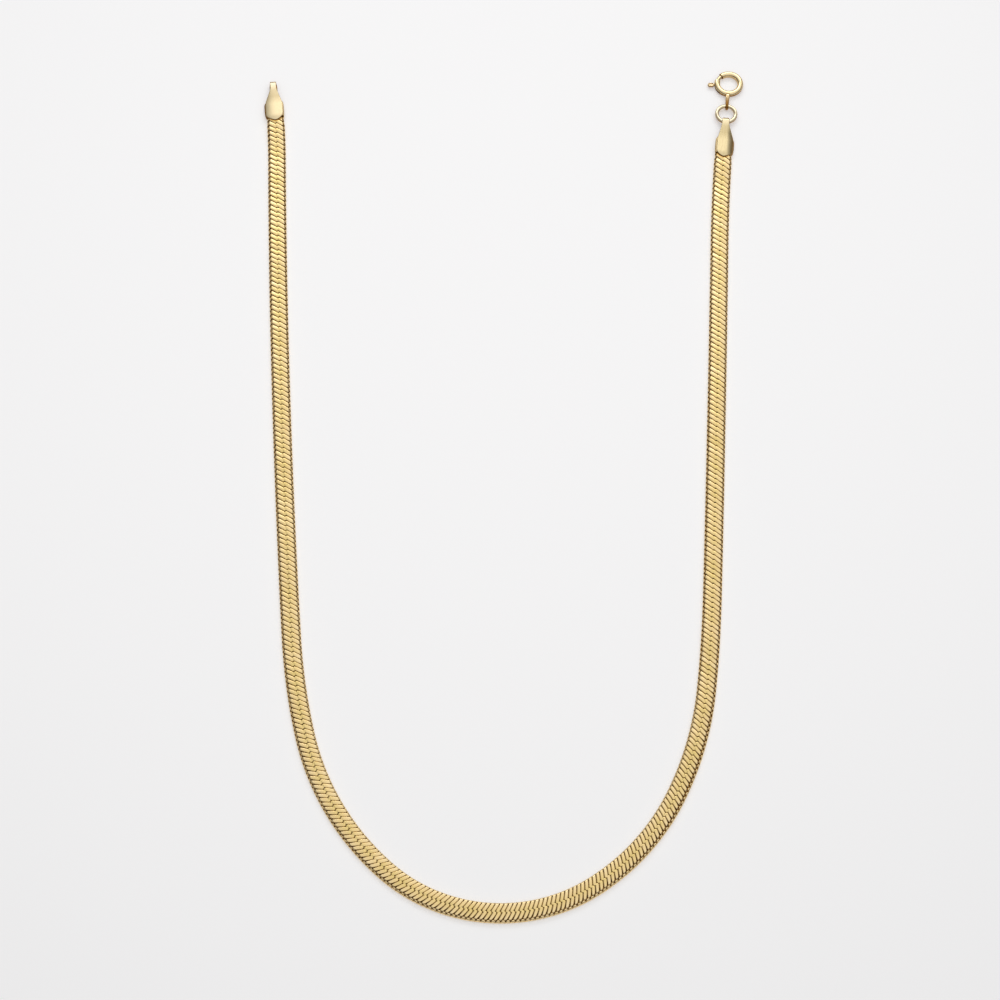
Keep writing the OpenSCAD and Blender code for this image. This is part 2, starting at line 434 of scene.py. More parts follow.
def course(s):
    """Place and heading of the centreline at distances s from the left end, in the frame."""
    place, heading = route_point(s)
    return place + SHIFT, heading


def from_nearer_end(s):
    return np.minimum(s, CHAIN_LENGTH - s)


def lift(s):
    """Height of the chain's underside: it climbs onto the back plates of the caps."""
    share = np.clip(1 - (from_nearer_end(s) - CAP_HOLD) / LIFT_LENGTH, 0, 1)
    return (SHEET + FIT_GAP) * (1 - np.cos(np.pi * share)) / 2


def on_chain(points):
    """Points given as distance along the chain, offset to the left and height, brought into the frame."""
    place, heading = course(points[..., 0])
    x = place[..., 0] - np.sin(heading) * points[..., 1]
    y = place[..., 1] + np.cos(heading) * points[..., 1]
    return np.stack([x, y, points[..., 2] + lift(points[..., 0])], -1)


def smooth_step(x):
    x = np.clip(x, 0, 1)
    return x * x * (3 - 2 * x)


def tube_faces(rings, count, closed=False):
    """Faces of a tube of rings with count points each, joined into a circle or with both ends shut."""
    faces = []
    for i in range(rings if closed else rings - 1):
        a, b = i * count, (i + 1) % rings * count
        for j in range(count):
            k = (j + 1) % count
            faces.append((a + j, a + k, b + k, b + j))
    if not closed:
        faces.append(list(range(count))[::-1])
        faces.append([(rings - 1) * count + j for j in range(count)])
    return faces


def shell_object(name, shells, titles):
    """An object of closed shells, each given as vertices, faces and its values of each titled attribute."""
    starts = np.cumsum([0] + [len(shell[0]) for shell in shells]).tolist()
    vertices = np.concatenate([shell[0] for shell in shells])
    faces = [[start + v for v in face] for shell, start in zip(shells, starts) for face in shell[1]]
    mesh = bpy.data.meshes.new(name)
    mesh.from_pydata(vertices.tolist(), [], faces)
    _, _, *columns = zip(*shells)
    for title, column in zip(titles, columns):
        values = np.concatenate(column).astype(np.float32)
        mesh.attributes.new(title, "FLOAT", "POINT").data.foreach_set("value", values)
    mesh.shade_smooth()
    mesh.validate()
    made = bpy.data.objects.new(name, mesh)
    bpy.context.scene.collection.objects.link(made)
    return made


# Each link is one flattened S-shaped bar, slanted across the chain. Its section, round from one side over the
# top, is given as shares of its half width and of its depth below the top.
SECTION = [
    (-0.96, 0.62), (-0.95, 0.34), (-0.9, 0.17), (-0.8, 0.08), (-0.62, 0.033),
    (-0.35, 0.009), (0, 0), (0.35, 0.009), (0.62, 0.033), (0.8, 0.08),
    (0.9, 0.17), (0.95, 0.34), (0.96, 0.62), (0.8, 1.0), (-0.8, 1.0),
]
LOW_SECTION = [
    (-1.0, 0.6), (-0.8, 0.14), (-0.3, 0), (0.3, 0), (0.8, 0.14), (1.0, 0.6), (0.7, 1.0), (-0.7, 1.0),
]
BAR_DEPTH = 0.46 * MM
LOW_DEPTH = 0.22 * MM
# Tables along the chain have distances from its left end in millimetres. This one gives the distance between
# the links in millimetres: they crowd together in the bend.
PITCH = [
    (0, 1.29), (60, 1.26), (120, 1.16), (160, 1.1), (190, 1.01), (225, 0.96),
    (245, 0.98), (260, 1.06), (290, 1.11), (330, 1.15), (380, 1.24), (430, 1.3),
]
FIRST_LINK = 1.6 * MM
# How far a bar slants for each metre across, and its step at the seam: in the arms and in the bend
SLANT_ARM = 0.72
SLANT_BEND = 0.6
KINK_HALF = 0.25 * MM
KINK_REACH = 1.4 * KINK_HALF
KINK_LEFT = 0.43 * MM
KINK_BEND = 0.62 * MM
KINK_RIGHT = 0.2 * MM
SEAM_DIP = 0.02 * MM
SEAM_PINCH = 0.1
# Both layers of links curl round the chain's edges. The low ones end in a row of beads beside the top ones.
# In the bend the top ones reach the inner edge, and the beads of the outer edge stand higher.
TOP_HALF = CHAIN_WIDTH / 2 - 0.22 * MM
TOP_ROUND = 0.34 * MM
TOP_MORE = 0.2 * MM
LOW_HALF = CHAIN_WIDTH / 2 + 0.03 * MM
LOW_ROUND = 0.35 * MM
LOW_RISE = 0.24 * MM
LOW_LESS = 0.14 * MM
LOW_CURL = 0.2 * MM
LOW_CURL_MORE = 0.3 * MM
LOW_TURN = 1.4
NO_CURL = 1e-9
INWARD = 0.12 * MM
# How much further both layers reach towards the outer edge, in millimetres, and how large the outer beads are
TOP_REACH = [(110, 0), (175, 0.17), (217, 0.07), (270, -0.18), (310, 0)]
LOW_REACH = [(110, 0), (175, 0.15), (217, 0.18), (270, 0.07), (310, 0)]
BEADS = [(120, 0), (180, 0.3), (210, 1), (245, 1), (280, 0.5), (320, 0)]
# A bar's round ends, which stop a little short of a point, and how thin they get
TOP_TIP = 1 * MM
LOW_TIP = 0.2 * MM
TIP_MORE = 0.6 * MM
TIP_END = 0.985
TIP_THICK = 0.45
# Points along half a bar: up to the seam's step, over its flat part and over its edge
KINK_POINTS = 5
TOP_POINTS = (5, 8)
LOW_POINTS = (2, 9)
# The chain counts as fully bent where it turns this far between these distances before and after a link
LEAN_REACH = 8 * MM
FULL_LEAN = math.radians(22)
# Chance differences between the links, as standard deviations
ROLL_SPREAD = 0.02
TINT_SPREAD = 0.12
RISE_SPREAD = 0.006 * MM
MIDDLE_TINT = 0.5
EDGE_PALER = 0.7
# Painted shade fills the grooves, less at the seam and on the inner half of the bend, and darkens the ends of
# the top bars
GROOVE_FROM = 0.05
GROOVE_STEEP = 2.2
SEAM_SHADE = 0.35
SEAM_FROM = 0.4 * MM
SEAM_FADE = 0.9 * MM
BEND_LIGHT = 0.85
TIP_SHADE = 0.4
DARK_FROM = 0.17 * MM
DARK_FULL = 0.05 * MM
LOW_STEEP = 1.4
LOW_LIGHTEST = 0.05
# Inside the caps the chain is pressed narrower, and a painted shadow darkens the links beside their lips
HELD_FROM = 3 * MM
HELD_LENGTH = 3 * MM
HELD_PINCH = 0.07
LIP_SHADE = 0.65 * MM
LIP_DEPTH = 1.5 * MM
LIP_POWER = 1.5
# The chain's pieces, and the share of the links at which each ends
PIECES = {"chain_left_arm": 0.27, "chain_left_bend": 0.5, "chain_right_bend": 0.75, "chain_right_arm": 1}


def along_chain(s, table):
    """A table's value at distance s from the left end; the table gives its distances in millimetres."""
    places, values = np.array(table).T
    return np.interp(s, places * MM, values)


def pitch_at(s):
    return along_chain(s, PITCH) * MM


def from_lip(s, u):
    """Distance along the chain from the lip of the nearer cap, at distance s and offset u."""
    corner = np.clip(1 - (np.abs(u) / (CHAIN_WIDTH / 2)) ** LIP_POWER, 0, 1) ** (1 / LIP_POWER)
    return from_nearer_end(s) - CAP_HOLD + LIP_DEPTH * (1 - corner)


def lean(s):
    """How far the chain bends at a link, from 0 in the straight arms to 1 in the bend."""
    heading = course(np.array([max(0, s - LEAN_REACH), min(CHAIN_LENGTH, s + LEAN_REACH)]))[1]
    return min(1, abs(heading[1] - heading[0]) / FULL_LEAN)


def bar_edges(s, bend, low):
    """How a bar bends over its outer and inner edge: half width, radius, straight drop and curl of each."""
    if low:
        beads = along_chain(s, BEADS)
        reach = LOW_HALF + along_chain(s, LOW_REACH) * MM
        outer = (reach, LOW_ROUND, LOW_RISE - LOW_LESS * beads, LOW_CURL + LOW_CURL_MORE * beads)
        return outer, (LOW_HALF, LOW_ROUND, LOW_RISE, LOW_CURL)
    outer = (TOP_HALF + along_chain(s, TOP_REACH) * MM, TOP_ROUND, 0, 0)
    return outer, (TOP_HALF + TOP_MORE * bend, TOP_ROUND, 0, 0)


def side_path(half, radius, rise, curl, flat_points, edge_points):
    """A bar from the seam over one edge: distance along it, offset, drop, normal angle and way to its tip."""
    flat = half - radius
    side_start = flat + radius * np.pi / 2
    side_end = side_start + rise
    reach = side_end + LOW_TURN * curl
    size = np.concatenate([
        np.linspace(0, KINK_REACH, KINK_POINTS),
        np.linspace(KINK_REACH, flat, flat_points + 1)[1:],
        np.linspace(flat, reach, edge_points + 1)[1:],
    ])
    turn = np.clip((size - flat) / radius, 0, np.pi / 2)
    curled = np.maximum(0, size - side_end) / max(curl, NO_CURL)
    u = np.where(size <= flat, size, flat + radius * np.sin(turn)) - curl * (1 - np.cos(curled))
    drop = radius * (1 - np.cos(turn)) + np.clip(size - side_start, 0, rise) + curl * np.sin(curled)
    return np.stack([size, u, drop, turn + curled, reach - size])


def bar_path(s, bend, low):
    """Middle line of a bar's top: distance along it, slant, offset, drop, normal and way to its tip."""
    outer, inner = bar_edges(s, bend, low)
    points = LOW_POINTS if low else TOP_POINTS
    minus, plus = side_path(*outer, *points), side_path(*inner, *points)
    minus[:2] *= -1
    sigma, u, drop, angle, to_tip = np.concatenate([minus[:, :0:-1], plus], 1)
    crown = 0 if low else CHAIN_CROWN
    drop += crown * np.minimum(1, (u / TOP_HALF) ** 2) + SEAM_DIP * np.exp(-((sigma / KINK_HALF) ** 2))
    slant = SLANT_ARM + (SLANT_BEND - SLANT_ARM) * bend
    kink_arm = KINK_LEFT if s < CHAIN_LENGTH / 2 else KINK_RIGHT
    kink = kink_arm + (KINK_BEND - kink_arm) * bend
    offset = slant * sigma - kink * (smooth_step(sigma / KINK_HALF / 2 + 0.5) - 0.5)
    normal = np.stack([np.sin(angle) * np.sign(sigma), np.cos(angle)], -1)
    return sigma, offset, u, drop, normal, to_tip


def low_painted_shade_at(section, u):
    """Painted shade of a low bar, by ring and point: the deeper below its top, the darker."""
    return np.clip(LOW_STEEP * section[:, 1] + 0 * u[:, None], LOW_LIGHTEST, 1)


def top_painted_shade_at(section, u, to_tip, bend):
    """Painted shade of a top bar, by ring and point: in its grooves and round its ends."""
    share = np.where(u > 0, 1 - BEND_LIGHT * bend, 1)
    edge = share * smooth_step((DARK_FROM - to_tip) / (DARK_FROM - DARK_FULL))
    groove = np.clip((section[:, 1] - GROOVE_FROM) * GROOVE_STEEP, 0, 1)
    seam = SEAM_SHADE + (1 - SEAM_SHADE) * smooth_step((np.abs(u) - SEAM_FROM) / SEAM_FADE)
    at_tip = edge[:, None] * (TIP_SHADE + (1 - TIP_SHADE) * groove)
    return np.maximum(groove * (share * seam)[:, None], at_tip)


def bar_shell(s, section, low):
    """One bar at distance s along the chain: its vertices, faces, painted shade and tint."""
    bend = lean(s)
    side = -1 if low else 1
    sigma, offset, u, drop, normal, to_tip = bar_path(s, bend, low)
    line = np.stack([s + side * offset, u, side * -drop], -1)
    normal = np.stack([np.zeros_like(u), normal[:, 0], side * normal[:, 1]], -1)
    across = np.cross(np.gradient(line, axis=0), normal)
    across /= np.linalg.norm(across, axis=1)[:, None]
    width = pitch_at(s) / 2 * np.abs(across[:, 0]) * (1 - SEAM_PINCH * np.exp(-((sigma / KINK_HALF) ** 2)))
    taper = LOW_TIP if low else TOP_TIP + TIP_MORE * bend * (u < 0)
    tip = np.sqrt(1 - np.clip(1 - to_tip / taper, 0, TIP_END) ** 2)
    thick = (LOW_DEPTH if low else BAR_DEPTH) * (TIP_THICK + (1 - TIP_THICK) * tip)
    points = (
        line[:, None, :]
        + across[:, None, :] * (section[:, 0] * (width * tip)[:, None])[..., None]
        - normal[:, None, :] * (section[:, 1] * thick[:, None])[..., None]
    )

    roll = rng.normal(0, ROLL_SPREAD)
    shade = rng.normal(MIDDLE_TINT, TINT_SPREAD)
    rise = rng.normal(0, RISE_SPREAD)
    height = points[..., 2] + roll * (points[..., 0] - s) + rise
    points[..., 2] = np.maximum(height, 0) if low else np.minimum(height + CHAIN_THICK, CHAIN_THICK)
    held = 1 - smooth_step((from_nearer_end(points[..., 0]) - HELD_FROM) / HELD_LENGTH)
    points[..., 1] = (points[..., 1] + INWARD * bend) * (1 - HELD_PINCH * held)

    painted_shade = low_painted_shade_at(section, u) if low else top_painted_shade_at(section, u, to_tip, bend)
    # Painted shadow of the cap's lip on the links just beside it
    painted_lip_shadow = 1 - smooth_step(from_lip(points[..., 0], points[..., 1]) / LIP_SHADE)
    tint = np.clip(shade + EDGE_PALER * (np.abs(u) / TOP_HALF - 0.5), 0, 1)
    faces = tube_faces(len(line), len(section))
    if low:
        faces = [face[::-1] for face in faces]
    vertices = on_chain(points).reshape(-1, 3)
    return vertices, faces, np.maximum(painted_shade, painted_lip_shadow).reshape(-1), np.repeat(tint, len(section))


def chain_piece(name, stations, material):
    """The links at the given distances along the chain, top bars first."""
    shells = [bar_shell(s, np.array(SECTION), False) for s in stations]
    shells += [bar_shell(s, np.array(LOW_SECTION), True) for s in stations + pitch_at(stations) / 2]
    made = shell_object(name, shells, ("depth", "tint"))
    made.data.materials.append(material)
    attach(made, "necklace")
    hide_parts("chain")


def link_stations():
    """Distances of all links from the left end, with the wanted pitch between each and the next."""
    stations = [FIRST_LINK]
    while stations[-1] < CHAIN_LENGTH - FIRST_LINK - pitch_at(CHAIN_LENGTH):
        stations.append(stations[-1] + pitch_at(stations[-1]))
    return np.array(stations)


def add_chain():
    material = woven_gold()
    stations = link_stations()
    start = 0
    for name, share in PIECES.items():
        end = round(share * len(stations))
        chain_piece(name, stations[start:end], material)
        start = end


# Metal pieces are smooth where their faces meet at less than this angle
SHARP = math.radians(50)


def metal_piece(name, shells, material, body="necklace", coordinates=None):
    """One visible piece from several closed shells, in place of the part's solid of the same name."""
    made = shell_object(name + "_detail", shells, ("depth",))
    if coordinates is not None:
        layer = made.data.uv_layers.new(name="flat")
        corners = np.zeros(len(made.data.loops), int)
        made.data.loops.foreach_get("vertex_index", corners)
        layer.data.foreach_set("uv", coordinates[corners].ravel().astype(np.float32))
    outwards = bmesh.new()
    outwards.from_mesh(made.data)
    bmesh.ops.recalc_face_normals(outwards, faces=outwards.faces)
    outwards.to_mesh(made.data)
    outwards.free()
    made.data.set_sharp_from_angle(angle=SHARP)
    made.data.materials.append(material)
    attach(made, body)
    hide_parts(name)


# A cap's front plate ends below in a round lip and above in a narrow tongue that folds back into a loop.
# Behind the plate a shallow cup holds the chain. Distances along a cap are from the lip.
LIP_CURL = 0.12 * MM
FLARE_START = 4.5 * MM
FLARE_END = 8.9 * MM
FLARE_EASE = 0.35
BACK_END = 4.6 * MM
ROLL_START = 4 * MM
ROLL_END = 9 * MM
RIM = 0.14 * MM
# Rows of points of the strip: distances of the first ones from the lip in millimetres, then how many follow
# in each stretch
LIP_ROWS = [0, 0.01, 0.03, 0.06, 0.1, 0.15, 0.22, 0.32, 0.45, 0.6, 0.8, 1, 1.25, 1.5]
FRONT_FROM = 1.9 * MM
FRONT_ROWS = 28
FOLD_ROWS = 20
BACK_ROWS = 7
STRIP_POINTS = 31
# Painted shade on the strip: along its rim, round the fold by the angle turned, and where its side rolls down
RIM_DARK = 0.09 * MM
NECK_RIM_SHADE = 0.35
INNER_RIM_SHADE = 0.5
FOLD_SHADE = [(0.35, 0), (0.8, 1), (2, 1), (2.4, 0.3)]
ROLL_SHADE = 0.8
STEEP_FROM = 0.4
STEEP_FADE = 0.5
# Outline of the cup: distance from the lip in millimetres and share of its full width
CUP_OUTLINE = [
    (1.15, 0.86), (1.3, 0.9), (1.6, 0.95), (2.0, 0.98), (2.8, 1), (4.4, 1), (4.9, 0.96), (5.5, 0.8),
    (5.9, 0.62),
]
CUP_MOUTH = 0.95
CUP_TOP = 1.5 * MM
CUP_CORNER = 0.25 * MM
CUP_WALL = 0.1 * MM
CUP_MIDDLE = 3 * MM
CUP_ARC_POINTS = 6
CUP_INNER_SHADE = 0.3


class Cap:
    """Sizes of one cap in metres. Its outer side is the one away from the other arm, at +x if side is 1."""

    def __init__(self, side, plate, cup, chamfer, roll, roll_from, tongue, loop, back):
        self.side = side
        self.plate_out, self.plate_in = plate
        self.cup_out, self.cup_in = cup
        self.chamfer = chamfer
        self.roll, self.roll_from = roll, roll_from
        self.tongue, self.loop, self.back = tongue, loop, back


LEFT_CAP = Cap(
    side=-1, plate=(2.2 * MM, 1.85 * MM), cup=(2.45 * MM, 2.12 * MM), chamfer=(1.0 * MM, 0.62 * MM),
    roll=0.39 * MM, roll_from=-0.14, tongue=0.72 * MM, loop=0.74 * MM, back=0.9 * MM,
)
RIGHT_CAP = Cap(
    side=1, plate=(2.25 * MM, 1.67 * MM), cup=(2.36 * MM, 2.05 * MM), chamfer=(1.35 * MM, 0.95 * MM),
    roll=0.93 * MM, roll_from=0.15, tongue=0.86 * MM, loop=0.6 * MM, back=0.7 * MM,
)


def flare_half(y, widest, tongue):
    """Half the width of a cap's plate on one side, at distances y from the lip, were the lip straight."""
    share = np.clip((y - FLARE_START) / (FLARE_END - FLARE_START), 0, 1)
    eased = share + FLARE_EASE * (smooth_step(share) - share)
    return tongue + (widest - tongue) * (1 - eased)


def plate_half(y, widest, tongue):
    """The same, drawn in to the round lip."""
    lip = widest * np.clip(1 - (1 - np.minimum(y / LIP_DEPTH, 1)) ** LIP_POWER, 0, 1) ** (1 / LIP_POWER)
    return np.minimum(lip, flare_half(y, widest, tongue))


def strip_line(cap):
    """The cap's strip over the front, round the fold and back: distance, height, turn and half widths."""
    radius = CAP_HEIGHT / 2
    fold = CAP_LENGTH - radius
    front = np.concatenate([np.array(LIP_ROWS) * MM, np.linspace(FRONT_FROM, fold, FRONT_ROWS)])
    bend = np.linspace(0, np.pi, FOLD_ROWS + 1)[1:]
    back = np.linspace(fold, BACK_END, BACK_ROWS + 1)[1:]
    y = np.concatenate([front, fold + radius * np.sin(bend), back])
    z = np.concatenate([CAP_HEIGHT + 0 * front, radius * (1 + np.cos(bend)), 0 * back])
    turn = np.concatenate([0 * front, bend, np.pi + 0 * back])
    folded = np.interp(bend, (0, np.pi / 2, np.pi), (cap.tongue, cap.loop, cap.back))
    halves = [
        np.concatenate([plate_half(front, widest, cap.tongue), folded, cap.back + 0 * back])
        for widest in (cap.plate_out, cap.plate_in)
    ]
    return y, z, turn, *halves


def rim_distance(x, y, half, widest, front):
    """How far points of the strip lie in from its side, or from the lip where they are near it."""
    corner = (np.abs(x) / widest) ** LIP_POWER + (1 - np.minimum(y / LIP_DEPTH, 1)) ** LIP_POWER
    in_lip = (1 - corner ** (1 / LIP_POWER)) * (widest + LIP_DEPTH) / 2
    return np.where(front & (y < LIP_DEPTH), in_lip, half - np.abs(x))


def cap_strip(cap):
    """The folded strip as a shell, and its unrolled coordinates for the brushing."""
    y, z, turn, half_out, half_in = (line[:, None] for line in strip_line(cap))
    along = np.concatenate([[0], np.cumsum(np.hypot(np.diff(y[:, 0]), np.diff(z[:, 0])))])[:, None]
    across = np.sin(np.linspace(-1, 1, STRIP_POINTS) * np.pi / 2)
    across = np.concatenate([across, across[-2:0:-1]])
    below = np.arange(len(across)) >= STRIP_POINTS
    outwards = cap.side * across > 0
    half = np.where(outwards, half_out, half_in)
    x = across * half
    front = turn == 0
    from_rim = rim_distance(x, y, half, np.where(outwards, cap.plate_out, cap.plate_in), front)

    # The rim is rounded, the front rolls down towards the outer side, and the lip curls onto the chain
    edge = SHEET / 2 * (1 - np.sqrt(1 - np.clip(1 - from_rim / RIM, 0, 1) ** 2))
    fade = front * (1 - smooth_step((y - ROLL_START) / (ROLL_END - ROLL_START)))
    past = np.maximum(0, cap.side * x / flare_half(y, cap.plate_out, cap.tongue) - cap.roll_from)
    rolled = fade * cap.roll * (past / (1 - cap.roll_from)) ** 2
    curl = front * LIP_CURL * np.maximum(0, 1 - y / LIP_DEPTH) ** 2
    drop = np.where(below, SHEET - edge, edge) + rolled + curl
    vertices = np.stack([x, y - drop * np.sin(turn), z - drop * np.cos(turn)], -1)

    # Painted shade: a dark outline along the rim, dark round the fold and where the side rolls down, and
    # fully dark on the underside
    side_shade = np.where(outwards | (y < LIP_DEPTH), 1, INNER_RIM_SHADE)
    side_shade = np.where(y > FLARE_START, NECK_RIM_SHADE, side_shade)
    rim_shade = side_shade * (1 - smooth_step(from_rim / RIM_DARK))
    fold_shade = np.interp(turn, *zip(*FOLD_SHADE)) * (turn > 0)
    steep = 2 * fade * cap.roll * past / (1 - cap.roll_from) ** 2 / cap.plate_out
    roll_shade = ROLL_SHADE * smooth_step((steep - STEEP_FROM) / STEEP_FADE)
    depth = np.where(below, 1, np.maximum(np.maximum(rim_shade, fold_shade), roll_shade))
    flat = np.stack([x, along + 0 * x], -1)
    return (vertices.reshape(-1, 3), tube_faces(*x.shape), depth.reshape(-1)), flat.reshape(-1, 2)


def cup_section(cap, share, gap, low, high, at_mouth):
    """Outline of the cup seen along the cap, as (x, z) on its four corners, drawn in by gap."""
    arc = np.linspace(0, np.pi / 2, CUP_ARC_POINTS)
    c, s = CUP_CORNER * np.cos(arc), CUP_CORNER * np.sin(arc)
    out = cap.cup_out * share - gap
    inside = cap.cup_in * (max(share, CUP_MOUTH) if at_mouth else share) - gap
    wide, tall = cap.chamfer
    slope = np.linspace(0, 1, CUP_ARC_POINTS)
    w = np.concatenate([
        out - wide * slope,
        -inside + CUP_CORNER - s,
        -inside + CUP_CORNER - c,
        out - CUP_CORNER + s,
    ])
    z = np.concatenate([
        high - tall * (1 - slope),
        high - CUP_CORNER + c,
        low + CUP_CORNER - s,
        low + CUP_CORNER - c,
    ])
    return np.stack([cap.side * w, z], -1)


def cap_cup(cap):
    """The cup that holds the chain, open towards the lip, as a shell."""
    mouth, mouth_share = CUP_OUTLINE[0]
    inner = cup_section(cap, mouth_share, CUP_WALL, SHEET, CUP_TOP - CUP_WALL / 2, True)
    rings = [(CAP_HOLD + FIT_GAP, inner), (mouth * MM, inner)]
    for y, share in CUP_OUTLINE:
        rings.append((y * MM, cup_section(cap, share, 0, 0, CUP_TOP, y * MM < CUP_MIDDLE)))
    vertices = np.concatenate([
        np.stack([ring[:, 0], np.full(len(ring), y), ring[:, 1]], -1) for y, ring in rings
    ])
    # Painted shade: fully dark inside the mouth, and on the outside dark on the outer side and lighter on the
    # inner side
    outside = np.repeat([1, CUP_INNER_SHADE, CUP_INNER_SHADE, 1], CUP_ARC_POINTS)
    depth = np.concatenate([np.ones(2 * len(inner)), np.tile(outside, len(CUP_OUTLINE))])
    return vertices, tube_faces(len(rings), len(inner)), depth


def add_cap(name, s, cap, material):
    """One cap, at the end of the chain that lies at distance s."""
    place, heading = course(s)
    angle = heading + (math.pi if s == 0 else 0)

    def placed(vertices, faces, depth):
        forward = vertices[:, 1] - CAP_HOLD
        x = place[0] + vertices[:, 0] * np.sin(angle) + forward * np.cos(angle)
        y = place[1] - vertices[:, 0] * np.cos(angle) + forward * np.sin(angle)
        return np.stack([x, y, vertices[:, 2]], -1), faces, depth

    strip, flat = cap_strip(cap)
    cup = cap_cup(cap)
    flat = np.concatenate([flat, cup[0][:, :2]]) / MM
    metal_piece(name, [placed(*strip), placed(*cup)], material, coordinates=flat)


# Jump ring, clasp ring with its eye, and bolt, at the same places and of the same sizes as in the part.
# Angles are in degrees, anticlockwise round the clasp's middle, in its own frame with the eye towards -y.
JUMP_MIDDLE = np.array([52.2422, 92.5914, 0.91]) * MM
JUMP_RADIUS = 2.2 * MM
JUMP_WIRE = 0.43 * MM
CLASP_MIDDLE = np.array([53.1516, 101.244, 0.625]) * MM
CLASP_TURN = -6
CLASP_RADIUS = 2.75 * MM
CLASP_TUBE = 0.665 * MM
BORE = 0.47 * MM
RING_FROM = 169
RING_TO = 495
SLIT_FROM = 182
SLIT_TO = 236
SLIT_HALF = 0.27 * MM
# Half the angle, in radians, that stays open where the tube isn't slit
SHUT = 0.002
# The tube's far end flares and is darkened with painted shade over these angles. One more section lies this
# far beyond each end.
END_FLARE = 0.12 * MM
END_LENGTH = 8
END_DARK = 4
END_STEP = 0.05
BOLT_WIRE = 0.43 * MM
BOLT_FROM = 130
BOLT_TO = 252
THUMB_ANGLE = 189
STEM_HALF = 0.22 * MM
STEM_REACH = 3.65 * MM
THUMB_MIDDLE = 4.205 * MM
THUMB_STRAIGHT = 0.275 * MM
THUMB_HALF = 0.52 * MM
THUMB_LEAST = 0.01 * MM
# Decimals kept of a cosine, so that it is exactly 0 in the middle of the thumb piece's straight sides
THUMB_DIGITS = 9
# From the thumb piece's outline inwards, over its rim and into the dish: distance in, height and painted
# shade
THUMB_PROFILE = [
    (0.2, -0.25, 1), (0.06, -0.22, 1), (0, -0.12, 1), (0, 0.1, 1), (0.03, 0.18, 1), (0.1, 0.24, 0),
    (0.17, 0.24, 0), (0.2, 0.18, 0.8), (0.22, 0.1, 0.8), (0.27, 0.06, 0.2), (0.5, 0.05, 0),
]
EYE_MIDDLE = 5.15 * MM
EYE_RISE = 0.275 * MM
EYE_RADIUS = 0.7 * MM
EYE_STRAIGHT = 1.35 * MM
EYE_WIDE = 0.46 * MM
EYE_NARROW = 0.34 * MM
EYE_THICK = 0.21 * MM
EYE_SEAT = 0.56 * MM
# The eye is darkened with painted shade between these distances from the clasp's middle, towards its far end
# in the jump ring
EYE_DARK_FROM = 3.2 * MM
EYE_DARK_FULL = 6.2 * MM
# Sections are between an oval (power 2) and a box (large power)
TUBE_POWER = 2.5
WIRE_POWER = 2.4
EYE_POWER = 2.6
STEM_POWER = 4
ROUND = 2
# Points round each section, and sections along each piece
TUBE_POINTS = 41
WIRE_POINTS = 24
EYE_POINTS = 20
STEM_POINTS = 16
THUMB_POINTS = 48
END_SECTIONS = 8
SLIT_SECTIONS = 24
RING_SECTIONS = 110
JUMP_SECTIONS = 96
BOLT_SECTIONS = 44
EYE_BEND_SECTIONS = 17
EYE_RUN_SECTIONS = 11
STEM_SECTIONS = 6
# Painted shade on rings: it fades upwards from this share of the height, and is lighter on the side of the
# hole
PAINTED_SHADE_LEVEL = 0.68
PAINTED_SHADE_FADE = 0.45
INNER_SHADE = 0.5


def ring_painted_shade(section):
    """Painted shade round a wire or tube, whose section is given as (outwards, up): most on its outer side.
    """
    level = section[:, 1] / section[:, 1].max()
    return smooth_step((PAINTED_SHADE_LEVEL - level) / PAINTED_SHADE_FADE) * np.where(section[:, 0] > 0, 1, INNER_SHADE)


def outline(half, power, angle):
    """Points at the given angles on an outline between a circle and a square of the given half width."""
    c, s = np.cos(angle), np.sin(angle)
    return half * np.stack([np.sign(c) * np.abs(c) ** (2 / power), np.sign(s) * np.abs(s) ** (2 / power)], -1)


def full_turn(count):
    return np.linspace(0, 2 * np.pi, count, endpoint=False)


def around(radius, degrees, sections):
    """Sections, given as (outwards, up), placed on a flat circle at the given angles."""
    angle = np.radians(degrees)[:, None]
    out = radius + sections[..., 0]
    return np.stack([out * np.cos(angle), out * np.sin(angle), sections[..., 1] + 0 * angle], -1)


def turned(points, degrees):
    """Points turned about the vertical through the origin."""
    c, s = math.cos(math.radians(degrees)), math.sin(math.radians(degrees))
    x = points[..., 0] * c - points[..., 1] * s
    y = points[..., 0] * s + points[..., 1] * c
    return np.stack([x, y, points[..., 2]], -1)


def in_clasp(points):
    """Points of the clasp's own frame, brought to its place."""
    return (turned(points, CLASP_TURN) + CLASP_MIDDLE).reshape(-1, 3)


def tube_section(degrees, is_slit):
    """The clasp tube's wall at an angle of the ring: its outer and then its inner outline, and painted shade.
    """
    bore = BORE + END_FLARE * smooth_step(1 - (RING_TO - degrees) / END_LENGTH)
    outer_gap = math.asin((SLIT_HALF / CLASP_TUBE) ** (TUBE_POWER / 2)) if is_slit else SHUT
    inner_gap = math.asin(SLIT_HALF / bore) if is_slit else SHUT
    share = np.linspace(0, 1, TUBE_POINTS)
    outer = outline(CLASP_TUBE, TUBE_POWER, outer_gap + (2 * np.pi - 2 * outer_gap) * share)
    inner = outline(bore, ROUND, inner_gap + (2 * np.pi - 2 * inner_gap) * share[::-1])
    # Painted shade: dark at the tube's ends and all through the bore
    at_end = max(smooth_step((degrees - RING_TO) / END_DARK + 1), degrees < RING_FROM)
    depth = np.concatenate([np.maximum(ring_painted_shade(outer), at_end), np.ones(len(inner))])
    return np.concatenate([outer, inner]), depth


